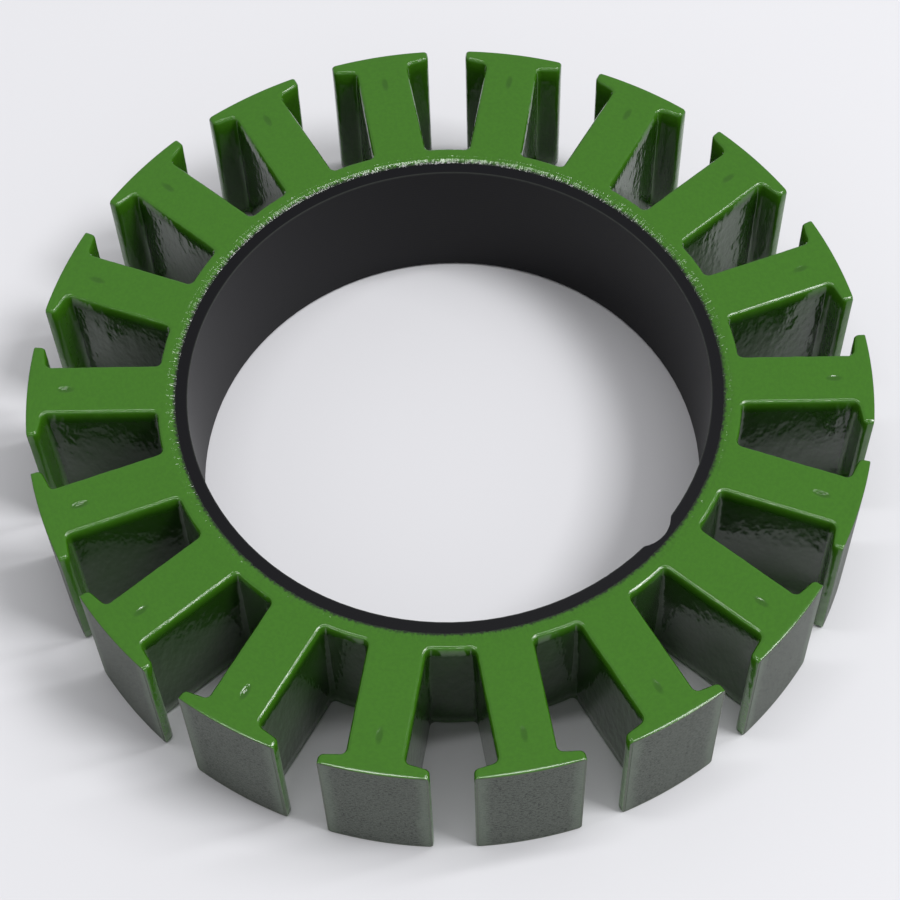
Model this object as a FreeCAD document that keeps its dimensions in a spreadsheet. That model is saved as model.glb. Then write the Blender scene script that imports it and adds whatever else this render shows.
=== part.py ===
"""Stator lamination stack of an outer-rotor motor.

Frame: +Z is the stack's axis, z = 0 is the underside of the insulating coat, and the origin
is on the bore's axis.  +X runs along the centre line of the tooth that the bore's notch faces.

The stack is built as it is made: stamped steel sheets, each with a ring of T-shaped teeth,
are pressed together by V-shaped interlocks, one in each tooth.  The bottom sheet has
punched-through windows instead, so that nothing stands out below the stack.  A powder coat is
then fused over the whole stack, except for the bore with a narrow rim around it, and the pole
faces are ground bare.  All lengths are in millimetres.
"""
import FreeCAD, Part
import math
import os
import Sketcher
from FreeCAD import Vector

# Driving dimensions: alias, value, what it is.
DIMENSIONS = [
    ("outer_diameter", 100.0, "over the ground pole faces"),
    ("bore_diameter", 62.0, "bare bore of the sheets"),
    ("tooth_count", 18, "teeth around the ring"),
    ("sheet_thickness", 0.5, "one stamped sheet"),
    ("sheet_count", 40, "sheets in the stack"),
    ("yoke_width", 3.25, "bore to slot bottom, steel"),
    ("tooth_width", 5.9, "parallel-sided tooth, steel"),
    ("tip_width", 11.7, "across one pole tip, steel"),
    ("tip_neck_depth", 1.7, "outer radius to the tip's inner face, at the tooth"),
    ("tip_edge_depth", 0.9, "thickness of the tip at its ends"),
    ("stamped_corner", 0.5, "fillet in the corners of the stamped outline"),
    ("notch_width", 4.8, "across the notch at the bore"),
    ("notch_depth", 0.8, "from the bore to the notch's bottom"),
    ("interlock_inset", 4.6, "outer radius to the middle of the interlock"),
    ("interlock_length", 2.6, "along the tooth"),
    ("interlock_width", 1.1, "across the tooth"),
    ("interlock_depth", 0.35, "at the middle of the V"),
    ("coat_thickness", 0.35, "powder coat"),
    ("coat_corner", 0.65, "fillet in the corners of the coated outline"),
    ("coat_edge_round", 0.45, "rounding of the coat along the slot edges"),
    ("grind_allowance", 1.5, "coated stock that is ground off the pole faces"),
    ("bare_rim", 1.4, "bare steel around the bore"),
    ("rim_edge_height", 0.1, "coat thickness where it ends at the bare rim"),
    ("rim_slope", 1.1, "width of the coat's slope beside the bare rim"),
    ("dimple_length", 2.1, "coat's dimple over an interlock, along the tooth"),
    ("dimple_width", 0.85, "coat's dimple, across the tooth"),
    ("dimple_depth", 0.2, "coat's dimple, at its middle"),
]

# Sizes that follow from the driving dimensions.
OUTER_RADIUS = "(Dimensions.outer_diameter / 2)"
BORE_RADIUS = "(Dimensions.bore_diameter / 2)"
YOKE_RADIUS = f"({BORE_RADIUS} + Dimensions.yoke_width)"
YOKE_MIDDLE = f"({BORE_RADIUS} + Dimensions.yoke_width / 2)"
RIM_RADIUS = f"({BORE_RADIUS} + Dimensions.bare_rim)"
STACK_BOTTOM = "Dimensions.coat_thickness"
STACK_LENGTH = "(Dimensions.sheet_count * Dimensions.sheet_thickness)"
STACK_TOP = f"({STACK_BOTTOM} + {STACK_LENGTH})"
COATED_LENGTH = f"({STACK_LENGTH} + 2 * Dimensions.coat_thickness)"
INTERLOCK_RADIUS = f"({OUTER_RADIUS} - Dimensions.interlock_inset)"

SAME_PLACE = 1e-4  # two heights or radii closer than this are the same


def make_sheet(doc):
    """Fill the spreadsheet of driving dimensions."""
    sheet = doc.addObject("Spreadsheet::Sheet", "Dimensions")
    for row, (alias, value, purpose) in enumerate(DIMENSIONS, start=1):
        sheet.set(f"A{row}", alias)
        sheet.set(f"B{row}", str(value))
        sheet.set(f"C{row}", purpose)
        sheet.setAlias(f"B{row}", alias)
    doc.recompute()


def make_body(doc, name):
    """Return a new body whose Label names its sub-part."""
    body = doc.addObject("PartDesign::Body", name)
    body.Label = name
    return body


def origin_feature(body, role):
    """Return the plane or axis of the body's own origin that has this role."""
    return next(f for f in body.Origin.OriginFeatures if f.Role == role)


def make_sketch(body, name, plane="XY_Plane", height=None):
    """Return a sketch on one of the body's planes, raised along its normal by an expression."""
    sketch = body.newObject("Sketcher::SketchObject", name)
    sketch.AttachmentSupport = [(origin_feature(body, plane), "")]
    sketch.MapMode = "FlatFace"
    if height:
        sketch.setExpression("AttachmentOffset.Base.z", height)
    return sketch


def constrain(sketch, name, expression, *definition):
    """Add a named dimension to a sketch and bind it to an expression."""
    index = sketch.addConstraint(Sketcher.Constraint(*definition))
    sketch.renameConstraint(index, name)
    sketch.setExpression(f"Constraints.{name}", expression)


def value_of(doc, expression):
    """Return an expression's value, for a sketch's first guess and for picking edges."""
    return float(doc.Dimensions.evalExpression(expression))


def add_circle(sketch, name, radius):
    """Draw a circle about the sketch's origin, its radius bound to an expression."""
    size = value_of(sketch.Document, radius)
    circle = sketch.addGeometry(Part.Circle(Vector(0, 0, 0), Vector(0, 0, 1), size))
    sketch.addConstraint(Sketcher.Constraint("Coincident", circle, 3, -1, 1))
    constrain(sketch, name, radius, "Radius", circle, size)


def add_polygon(sketch, points):
    """Draw a closed polygon and return the index of its first line."""
    corners = [Vector(x, y, 0) for x, y in points]
    lines = [Part.LineSegment(a, b) for a, b in zip(corners, corners[1:] + corners[:1])]
    first = sketch.addGeometry(lines)[0]
    count = len(lines)
    for i in range(count):
        sketch.addConstraint(
            Sketcher.Constraint("Coincident", first + i, 2, first + (i + 1) % count, 1)
        )
    return first


def add_pad(body, sketch, name, length, symmetric=False):
    """Pad a sketch by an expression, both ways from its plane if symmetric."""
    pad = body.newObject("PartDesign::Pad", name)
    pad.Profile = sketch
    pad.setExpression("Length", length)
    if symmetric:
        pad.SideType = "Symmetric"
    return pad


def add_pocket(body, sketch, name, depth, symmetric=False):
    """Pocket a sketch by an expression along its plane's normal, or both ways if symmetric."""
    pocket = body.newObject("PartDesign::Pocket", name)
    pocket.Profile = sketch
    pocket.setExpression("Length", depth)
    if symmetric:
        pocket.SideType = "Symmetric"
    else:
        pocket.Reversed = True
    return pocket


def repeat_on_teeth(body, feature, name):
    """Repeat a feature around the axis, once for each tooth."""
    pattern = body.newObject("PartDesign::PolarPattern", name)
    pattern.Originals = [feature]
    pattern.Axis = (origin_feature(body, "Z_Axis"), [""])
    pattern.Angle = 360
    pattern.setExpression("Occurrences", "Dimensions.tooth_count")
    body.Tip = pattern
    return pattern


def draw_tooth(body, name, skin, tip_radius, base):
    """Draw one T-shaped tooth along +X.

    The outline starts inside the yoke and ends on the arc of the pole face.  skin is what the
    outline adds on each side of the steel, tip_radius the arc's radius, and base the height
    of the sketch, each as an expression.
    """
    doc = body.Document
    width = f"(Dimensions.tooth_width + 2 * {skin})"
    tip = f"(Dimensions.tip_width + 2 * {skin})"
    neck = f"({OUTER_RADIUS} - Dimensions.tip_neck_depth - {skin})"
    edge = f"(sqrt({OUTER_RADIUS} ^ 2 - ({tip} / 2) ^ 2) - Dimensions.tip_edge_depth - {skin})"

    half_width = value_of(doc, width) / 2
    half_tip = value_of(doc, tip) / 2
    arc_radius = value_of(doc, tip_radius)
    root_x, neck_x, edge_x = (value_of(doc, e) for e in (YOKE_MIDDLE, neck, edge))
    corner_x = (arc_radius**2 - half_tip**2) ** 0.5

    sketch = make_sketch(body, name, height=base)
    upper = [(root_x, half_width), (neck_x, half_width), (edge_x, half_tip), (corner_x, half_tip)]
    lower = [(x, -y) for x, y in reversed(upper)]
    side, inner, end = (
        sketch.addGeometry(Part.LineSegment(Vector(*a, 0), Vector(*b, 0)))
        for a, b in zip(upper, upper[1:])
    )
    low_end, low_inner, low_side = (
        sketch.addGeometry(Part.LineSegment(Vector(*a, 0), Vector(*b, 0)))
        for a, b in zip(lower, lower[1:])
    )
    heel = sketch.addGeometry(Part.LineSegment(Vector(*lower[-1], 0), Vector(*upper[0], 0)))
    sweep = math.asin(half_tip / arc_radius)
    circle = Part.Circle(Vector(0, 0, 0), Vector(0, 0, 1), arc_radius)
    face = sketch.addGeometry(Part.ArcOfCircle(circle, -sweep, sweep))

    joined = [(side, 2, inner, 1), (inner, 2, end, 1), (end, 2, face, 2), (face, 1, low_end, 1)]
    joined += [(low_end, 2, low_inner, 1), (low_inner, 2, low_side, 1), (low_side, 2, heel, 1)]
    joined += [(heel, 2, side, 1), (face, 3, -1, 1)]
    for ends in joined:
        sketch.addConstraint(Sketcher.Constraint("Coincident", *ends))
    for line in (side, end, low_end, low_side):
        sketch.addConstraint(Sketcher.Constraint("Horizontal", line))
    sketch.addConstraint(Sketcher.Constraint("Vertical", heel))
    sketch.addConstraint(Sketcher.Constraint("Symmetric", inner, 1, low_inner, 2, -1))
    sketch.addConstraint(Sketcher.Constraint("Symmetric", inner, 2, low_inner, 1, -1))
    constrain(sketch, "face_radius", tip_radius, "Radius", face, arc_radius)
    constrain(sketch, "width", width, "DistanceY", heel, 1, heel, 2, 2 * half_width)
    constrain(sketch, "tip", tip, "DistanceY", low_end, 2, end, 1, 2 * half_tip)
    constrain(sketch, "root", YOKE_MIDDLE, "DistanceX", -1, 1, side, 1, root_x)
    constrain(sketch, "neck", neck, "DistanceX", -1, 1, side, 2, neck_x)
    constrain(sketch, "edge", edge, "DistanceX", -1, 1, inner, 2, edge_x)
    return sketch


def upright_edges(shape, least_radius, most_radius):
    """Name the straight edges along Z whose distance from the axis lies between two radii."""
    names = []
    for number, edge in enumerate(shape.Edges, start=1):
        if edge.Curve.TypeId != "Part::GeomLine" or abs(edge.Curve.Direction.z) < 1 - SAME_PLACE:
            continue
        point = edge.Vertexes[0].Point
        if least_radius < (point.x**2 + point.y**2) ** 0.5 < most_radius:
            names.append(f"Edge{number}")
    return names


def level_edges(shape, levels, least_radius):
    """Name the edges that lie flat at one of the levels, outside a radius about the axis."""
    names = []
    for number, edge in enumerate(shape.Edges, start=1):
        box = edge.BoundBox
        flat = any(abs(box.ZMin - z) + abs(box.ZMax - z) < SAME_PLACE for z in levels)
        point = edge.Vertexes[0].Point
        if flat and (point.x**2 + point.y**2) ** 0.5 > least_radius:
            names.append(f"Edge{number}")
    return names


def add_fillet(body, base, name, edges, radius):
    """Round the named edges of a feature by an expression."""
    fillet = body.newObject("PartDesign::Fillet", name)
    fillet.Base = (base, edges)
    fillet.setExpression("Radius", radius)
    return fillet


def add_steel_outline(body, base, length):
    """Build the stamped outline: yoke ring, teeth and bore notch, with rounded corners."""
    doc = body.Document
    ring = make_sketch(body, f"{body.Name}_yoke", height=base)
    add_circle(ring, "bore", BORE_RADIUS)
    add_circle(ring, "yoke", YOKE_RADIUS)
    add_pad(body, ring, f"{body.Name}_yoke_pad", length)

    outline = draw_tooth(body, f"{body.Name}_tooth", "0", OUTER_RADIUS, base)
    tooth = add_pad(body, outline, f"{body.Name}_tooth_pad", length)
    repeat_on_teeth(body, tooth, f"{body.Name}_teeth")

    notch = make_sketch(body, f"{body.Name}_notch", height=base)
    half = "(Dimensions.notch_width / 2)"
    radius = f"(({half} ^ 2 + Dimensions.notch_depth ^ 2) / (2 * Dimensions.notch_depth))"
    centre = f"({BORE_RADIUS} + Dimensions.notch_depth - {radius})"
    size, place = value_of(doc, radius), value_of(doc, centre)
    circle = notch.addGeometry(Part.Circle(Vector(place, 0, 0), Vector(0, 0, 1), size))
    notch.addConstraint(Sketcher.Constraint("PointOnObject", circle, 3, -1))
    constrain(notch, "radius", radius, "Radius", circle, size)
    constrain(notch, "centre", centre, "DistanceX", -1, 1, circle, 3, place)
    cut = add_pocket(body, notch, f"{body.Name}_notch_cut", length)
    doc.recompute()

    bore = value_of(doc, BORE_RADIUS)
    yoke_middle = value_of(doc, YOKE_MIDDLE)
    outside = value_of(doc, OUTER_RADIUS)
    edges = upright_edges(cut.Shape, bore - SAME_PLACE, bore + SAME_PLACE)
    edges += upright_edges(cut.Shape, yoke_middle, outside - SAME_PLACE)
    return add_fillet(body, cut, f"{body.Name}_corners", edges, "Dimensions.stamped_corner")


def draw_vee(body, name, level):
    """Draw an interlock's V in the XZ plane, hanging below a level given as an expression."""
    doc = body.Document
    middle, top = value_of(doc, INTERLOCK_RADIUS), value_of(doc, level)
    half = value_of(doc, "Dimensions.interlock_length") / 2
    depth = value_of(doc, "Dimensions.interlock_depth")
    sketch = make_sketch(body, name, plane="XZ_Plane")
    first = add_polygon(sketch, [(middle - half, top), (middle, top - depth), (middle + half, top)])
    sketch.addConstraint(Sketcher.Constraint("Horizontal", first + 2))
    sketch.addConstraint(Sketcher.Constraint("Equal", first, first + 1))
    constrain(sketch, "middle", INTERLOCK_RADIUS, "DistanceX", -1, 1, first, 2, middle)
    constrain(sketch, "level", level, "DistanceY", -1, 1, first, 1, top)
    constrain(
        sketch, "length", "Dimensions.interlock_length", "DistanceX", first, 1, first + 1, 2, 2 * half
    )
    constrain(
        sketch, "depth", "Dimensions.interlock_depth", "DistanceY", first, 2, first, 1, depth
    )
    return sketch


def add_interlock_hollows(body, level):
    """Press a V into the top of each tooth."""
    sketch = draw_vee(body, f"{body.Name}_hollow", level)
    cut = add_pocket(
        body, sketch, f"{body.Name}_hollow_cut", "Dimensions.interlock_width", symmetric=True
    )
    repeat_on_teeth(body, cut, f"{body.Name}_hollows")


def add_interlock_bosses(body, level):
    """Let the V stand out below each tooth, to fill the next sheet's hollow."""
    sketch = draw_vee(body, f"{body.Name}_boss", level)
    pad = add_pad(
        body, sketch, f"{body.Name}_boss_pad", "Dimensions.interlock_width", symmetric=True
    )
    repeat_on_teeth(body, pad, f"{body.Name}_bosses")


def add_interlock_windows(body, base):
    """Punch a window through the bottom sheet in each tooth, the size of the V."""
    doc = body.Document
    middle = value_of(doc, INTERLOCK_RADIUS)
    half = value_of(doc, "Dimensions.interlock_length") / 2
    side = value_of(doc, "Dimensions.interlock_width") / 2
    sketch = make_sketch(body, f"{body.Name}_window", height=base)
    corners = [(middle - half, -side), (middle + half, -side), (middle + half, side)]
    first = add_polygon(sketch, corners + [(middle - half, side)])
    for line in (first, first + 2):
        sketch.addConstraint(Sketcher.Constraint("Horizontal", line))
    sketch.addConstraint(Sketcher.Constraint("Vertical", first + 3))
    sketch.addConstraint(Sketcher.Constraint("Symmetric", first, 2, first + 1, 2, -1))
    inner_end = f"({INTERLOCK_RADIUS} - Dimensions.interlock_length / 2)"
    length, width = "Dimensions.interlock_length", "Dimensions.interlock_width"
    constrain(sketch, "start", inner_end, "DistanceX", -1, 1, first, 1, middle - half)
    constrain(sketch, "length", length, "DistanceX", first, 1, first, 2, 2 * half)
    constrain(sketch, "width", width, "DistanceY", first + 1, 1, first + 1, 2, 2 * side)
    cut = add_pocket(body, sketch, f"{body.Name}_window_cut", "Dimensions.sheet_thickness")
    repeat_on_teeth(body, cut, f"{body.Name}_windows")


def make_bottom_sheet(doc, name):
    """Build the bottom sheet, whose interlocks are windows."""
    body = make_body(doc, name)
    add_steel_outline(body, STACK_BOTTOM, "Dimensions.sheet_thickness")
    add_interlock_windows(body, STACK_BOTTOM)
    return body


def make_sheet_pattern(doc, name):
    """Build the sheet that all others repeat: the second one from the bottom."""
    body = make_body(doc, name)
    base = f"({STACK_BOTTOM} + Dimensions.sheet_thickness)"
    add_steel_outline(body, base, "Dimensions.sheet_thickness")
    add_interlock_hollows(body, f"({base} + Dimensions.sheet_thickness)")
    add_interlock_bosses(body, base)
    return body


def make_copy(doc, pattern, name, steps):
    """Build a sheet as a clone of the pattern, raised by whole sheet thicknesses."""
    body = make_body(doc, name)
    clone = body.newObject("PartDesign::FeatureBase", f"{name}_clone")
    clone.BaseFeature = pattern
    body.Tip = clone
    body.setExpression(".Placement.Base.z", f"{steps} * Dimensions.sheet_thickness")
    return body


def make_steel_core(doc):
    """Build the outer form of all the sheets together, which the coat wraps."""
    body = make_body(doc, "steel_core")
    add_steel_outline(body, STACK_BOTTOM, STACK_LENGTH)
    add_interlock_hollows(body, STACK_TOP)
    add_interlock_windows(body, STACK_BOTTOM)
    add_interlock_bosses(body, f"({STACK_BOTTOM} + Dimensions.sheet_thickness)")
    return body


def add_rim_slopes(body):
    """Slope the coat down to the bare rim, above and below."""
    doc = body.Document
    inner, top = value_of(doc, RIM_RADIUS), value_of(doc, COATED_LENGTH)
    outer = inner + value_of(doc, "Dimensions.rim_slope")
    drop = value_of(doc, "Dimensions.coat_thickness - Dimensions.rim_edge_height")
    slope_drop = "(Dimensions.coat_thickness - Dimensions.rim_edge_height)"
    sketch = make_sketch(body, "rim_slope", plane="XZ_Plane")
    for side, level, sign in (("upper", COATED_LENGTH, -1), ("lower", "0", 1)):
        height = top if sign < 0 else 0.0
        first = add_polygon(sketch, [(inner, height), (outer, height), (inner, height + sign * drop)])
        sketch.addConstraint(Sketcher.Constraint("Horizontal", first))
        sketch.addConstraint(Sketcher.Constraint("Vertical", first + 2))
        constrain(sketch, f"{side}_start", RIM_RADIUS, "DistanceX", -1, 1, first, 1, inner)
        constrain(
            sketch, f"{side}_run", "Dimensions.rim_slope", "DistanceX", first, 1, first, 2, outer - inner
        )
        ends = (first, 1, first + 2, 1) if sign > 0 else (first + 2, 1, first, 1)
        constrain(sketch, f"{side}_drop", slope_drop, "DistanceY", *ends, drop)
        if sign < 0:
            constrain(sketch, f"{side}_level", level, "DistanceY", -1, 1, first, 1, height)
        else:
            sketch.addConstraint(Sketcher.Constraint("PointOnObject", first, 1, -1))
    groove = body.newObject("PartDesign::Groove", "rim_slope_cut")
    groove.Profile = sketch
    groove.ReferenceAxis = (origin_feature(body, "Z_Axis"), [""])
    groove.Angle = 360
    return groove


def add_coat_dimples(body):
    """Sink a shallow round-bottomed dimple over each interlock, above and below."""
    doc = body.Document
    half, depth = "(Dimensions.dimple_length / 2)", "Dimensions.dimple_depth"
    radius = f"(({half} ^ 2 + {depth} ^ 2) / (2 * {depth}))"
    for side, centre in (
        ("upper", f"({COATED_LENGTH} - {depth} + {radius})"),
        ("lower", f"({radius} - {depth})"),
    ):
        size, height = value_of(doc, radius), value_of(doc, centre)
        sketch = make_sketch(body, f"{side}_dimple", plane="XZ_Plane")
        place = height if side == "upper" else -height
        middle = value_of(doc, INTERLOCK_RADIUS)
        circle = sketch.addGeometry(Part.Circle(Vector(middle, place, 0), Vector(0, 0, 1), size))
        ends = (-1, 1, circle, 3) if side == "upper" else (circle, 3, -1, 1)
        constrain(sketch, "radius", radius, "Radius", circle, size)
        constrain(sketch, "middle", INTERLOCK_RADIUS, "DistanceX", -1, 1, circle, 3, middle)
        constrain(sketch, "height", centre, "DistanceY", *ends, height)
        cut = add_pocket(
            body, sketch, f"{side}_dimple_cut", "Dimensions.dimple_width", symmetric=True
        )
        repeat_on_teeth(body, cut, f"{side}_dimples")


def make_coat_envelope(doc):
    """Build the coat's outer form: a coated ring with rounded edges, ground at the pole faces."""
    body = make_body(doc, "coat_envelope")
    ring = make_sketch(body, "coat_ring")
    add_circle(ring, "rim", RIM_RADIUS)
    add_circle(ring, "yoke", f"({YOKE_RADIUS} + Dimensions.coat_thickness)")
    add_pad(body, ring, "coat_ring_pad", COATED_LENGTH)

    rough_radius = f"({OUTER_RADIUS} + Dimensions.grind_allowance)"
    outline = draw_tooth(body, "coat_tooth", "Dimensions.coat_thickness", rough_radius, "0")
    tooth = add_pad(body, outline, "coat_tooth_pad", COATED_LENGTH)
    teeth = repeat_on_teeth(body, tooth, "coat_teeth")
    doc.recompute()

    yoke_middle = value_of(doc, YOKE_MIDDLE)
    edges = upright_edges(teeth.Shape, yoke_middle, value_of(doc, rough_radius) + 1)
    corners = add_fillet(body, teeth, "coat_corners", edges, "Dimensions.coat_corner")
    doc.recompute()

    levels = (0.0, value_of(doc, COATED_LENGTH))
    edges = level_edges(corners.Shape, levels, yoke_middle)
    add_fillet(body, corners, "coat_edges", edges, "Dimensions.coat_edge_round")

    grinding = make_sketch(body, "grinding")
    add_circle(grinding, "ground", OUTER_RADIUS)
    add_circle(grinding, "stock", f"({rough_radius} + 1)")
    add_pocket(body, grinding, "grinding_cut", COATED_LENGTH)

    add_rim_slopes(body)
    add_coat_dimples(body)
    return body


def make_coat(doc, envelope, core):
    """Leave the coat as what its outer form holds beyond the steel."""
    coat = doc.addObject("Part::Cut", "insulation_coating")
    coat.Label = "insulation_coating"
    coat.Base = envelope
    coat.Tool = core
    return coat


def check(doc, parts):
    """Stop if any feature failed, or if a sub-part isn't one valid closed solid."""
    failed = [o.Label for o in doc.Objects if {"Invalid", "Error"} & set(o.State)]
    if failed:
        raise RuntimeError(f"failed features: {failed}")
    for part in parts:
        shape = part.Shape
        if shape.isNull() or not shape.isValid() or len(shape.Solids) != 1:
            raise RuntimeError(f"{part.Label} isn't one valid solid")


def main():
    """Build the document, check it and write one STEP file for each sub-part."""
    doc = FreeCAD.newDocument("stator_lamination_stack")
    make_sheet(doc)
    count = int(value_of(doc, "Dimensions.sheet_count"))

    bottom = make_bottom_sheet(doc, "lamination_01")
    pattern = make_sheet_pattern(doc, "lamination_02")
    doc.recompute()
    copies = [
        make_copy(doc, pattern, f"lamination_{number:02d}", number - 2)
        for number in range(3, count + 1)
    ]
    coat = make_coat(doc, make_coat_envelope(doc), make_steel_core(doc))
    doc.recompute()

    parts = [bottom, pattern, *copies, coat]
    check(doc, parts)
    os.makedirs("parts", exist_ok=True)
    for part in parts:
        part.Shape.exportStep(f"parts/{part.Label}.step")
        print(f"{part.Label}: {part.Shape.Volume:.1f} mm3")


main()
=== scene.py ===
"""Outer-rotor motor stator: a stack of stamped steel sheets under a fused green powder coat.

All finished pieces are in metres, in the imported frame: +Z is the stack's axis, z = 0 is the
underside of the coat, and +X runs through the tooth that the bore's notch faces.
"""

import logging
import math
from dataclasses import dataclass

import bmesh
import bpy
from mathutils import Matrix, Vector, noise


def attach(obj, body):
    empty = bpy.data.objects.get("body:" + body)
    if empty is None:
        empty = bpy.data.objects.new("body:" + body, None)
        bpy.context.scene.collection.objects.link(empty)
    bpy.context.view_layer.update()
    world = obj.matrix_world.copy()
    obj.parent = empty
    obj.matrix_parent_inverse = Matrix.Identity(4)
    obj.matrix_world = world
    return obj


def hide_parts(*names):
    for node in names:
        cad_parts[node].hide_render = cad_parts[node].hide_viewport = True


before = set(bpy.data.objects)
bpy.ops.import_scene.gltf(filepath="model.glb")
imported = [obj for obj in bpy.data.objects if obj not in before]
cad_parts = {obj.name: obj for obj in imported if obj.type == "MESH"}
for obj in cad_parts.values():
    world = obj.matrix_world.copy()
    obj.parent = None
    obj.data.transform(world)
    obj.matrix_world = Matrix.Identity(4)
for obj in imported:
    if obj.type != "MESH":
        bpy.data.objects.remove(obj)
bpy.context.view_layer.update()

MM = 0.001
OUTER = "outer_side"

# Sizes that the coat and the finishes share, in millimetres.
TEETH = 18
POLE_RADIUS = 50.0
BORE_RADIUS = 31.0
RIM_RADIUS = 32.4
SLOPE_RADIUS = 33.4
COATED_HEIGHT = 20.7
COAT_THICKNESS = 0.35
SHEET_THICKNESS = 0.5

# Tolerances in millimetres, SAME also in radians, and the digits that KEY_DIGITS keeps of them.
SAME = 1e-4
WELD = 1e-3
SEAM_WELD = 8e-3
POLE_REACH = 0.02
KEY_DIGITS = 3

# Directions and shifts that cuts and noise use.
ALONG = Vector((1, 0, 0))
ACROSS = Vector((0, 1, 0))
RIPPLE_SHIFT = Vector((40, 0, 0))
RIDGE_SHIFT = Vector((9, 9, 9))

Colour = tuple[int, int, int]
Span = tuple[float, float]
Triple = tuple[float, float, float]
Socket = bpy.types.NodeSocket

log = logging.getLogger("stator")


# ----------------------------------------
# Shader building
# ----------------------------------------


class Nodes:
    """A node tree with short calls to add and join its nodes."""

    # The places of the Mix node's colour sockets.
    FIRST_COLOUR, SECOND_COLOUR, MIXED_COLOUR = 6, 7, 2

    def __init__(self, tree: bpy.types.NodeTree) -> None:
        """Start from an empty tree.

        Args:
            tree: The material's or group's node tree, which is cleared.
        """
        self.tree = tree
        tree.nodes.clear()

    def add(self, kind: str, **settings: object) -> bpy.types.Node:
        """Add a node.

        Args:
            kind: The node's type name without its ShaderNode prefix, unless it has another.
            settings: Values for the node's own settings.

        Returns:
            The new node.
        """
        name = kind if kind.startswith("NodeGroup") else f"ShaderNode{kind}"
        node = self.tree.nodes.new(name)
        for key, value in settings.items():
            setattr(node, key, value)
        return node

    def join(self, source: object, target: Socket) -> None:
        """Feed a socket from another socket, or set it to a constant.

        Args:
            source: An output socket, or the value that the target keeps.
            target: The input socket.
        """
        if isinstance(source, Socket):
            self.tree.links.new(source, target)
        else:
            target.default_value = source

    def math(self, operation: str, *values: object, clamp: bool = False) -> Socket:
        """Work out a number from sockets or constants.

        Args:
            operation: The Math node's operation.
            values: Its inputs, in order.
            clamp: Whether the result is held between 0 and 1.

        Returns:
            The result's socket.
        """
        node = self.add("Math", operation=operation, use_clamp=clamp)
        for source, target in zip(values, node.inputs):
            self.join(source, target)
        return node.outputs[0]

    def ramp(
        self, value: object, low: float, high: float, to_low: float = 0.0, to_high: float = 1.0
    ) -> Socket:
        """Map a number smoothly from one range to another, held at both ends.

        Args:
            value: The number's socket.
            low: Where the mapping starts.
            high: Where it ends.
            to_low: The result at low and before it.
            to_high: The result at high and past it.

        Returns:
            The mapped number's socket.
        """
        node = self.add("MapRange", interpolation_type="SMOOTHSTEP")
        for source, target in zip((value, low, high, to_low, to_high), node.inputs):
            self.join(source, target)
        return node.outputs[0]

    def squares(self, first: Socket, second: Socket) -> Socket:
        """Return the socket of the sum of two numbers' squares."""
        return self.math(
            "ADD", self.math("MULTIPLY", first, first), self.math("MULTIPLY", second, second)
        )

    def mix(self, factor: object, first: object, second: object) -> Socket:
        """Mix two colours.

        Args:
            factor: How much of the second colour shows.
            first: The first colour.
            second: The second colour.

        Returns:
            The mixed colour's socket.
        """
        node = self.add("Mix", data_type="RGBA")
        self.join(factor, node.inputs[0])
        self.join(first, node.inputs[self.FIRST_COLOUR])
        self.join(second, node.inputs[self.SECOND_COLOUR])
        return node.outputs[self.MIXED_COLOUR]

    def noise(
        self, place: object, scale: float, detail: float = 2.0, roughness: float = 0.5
    ) -> Socket:
        """Return the socket of a noise value between 0 and 1.

        Args:
            place: The socket of the point at which the noise is read.
            scale: The noise's frequency, in features per metre.
            detail: The number of finer octaves.
            roughness: How strong the finer octaves are.

        Returns:
            The noise's socket.
        """
        node = self.add("TexNoise")
        self.join(place, node.inputs["Vector"])
        node.inputs["Scale"].default_value = scale
        node.inputs["Detail"].default_value = detail
        node.inputs["Roughness"].default_value = roughness
        return node.outputs["Fac"]

    def stretch(self, place: Socket, scale: Triple) -> Socket:
        """Scale a point along each axis.

        Args:
            place: The point's socket.
            scale: The factor for each axis; below 1, a noise read there grows longer.

        Returns:
            The scaled point's socket.
        """
        node = self.add("Mapping", vector_type="POINT")
        self.join(place, node.inputs["Vector"])
        node.inputs["Scale"].default_value = scale
        return node.outputs[0]

    def bump(self, height: Socket) -> Socket:
        """Turn a height in metres into a bumped normal.

        Args:
            height: The height's socket.

        Returns:
            The normal's socket.
        """
        node = self.add("Bump")
        node.inputs["Distance"].default_value = 1.0
        self.join(height, node.inputs["Height"])
        return node.outputs[0]


def linear(*channels: int) -> tuple[float, float, float, float]:
    """Return the linear colour of three sRGB channels between 0 and 255."""
    scaled = (c / 255 for c in channels)
    return *((s / 12.92 if s <= 0.04045 else ((s + 0.055) / 1.055) ** 2.4) for s in scaled), 1.0


def new_material(name: str) -> tuple[bpy.types.Material, Nodes]:
    """Start a material.

    Args:
        name: The material's name.

    Returns:
        The material and its empty node tree.
    """
    material = bpy.data.materials.new(name)
    material.use_nodes = True
    return material, Nodes(material.node_tree)


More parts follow.
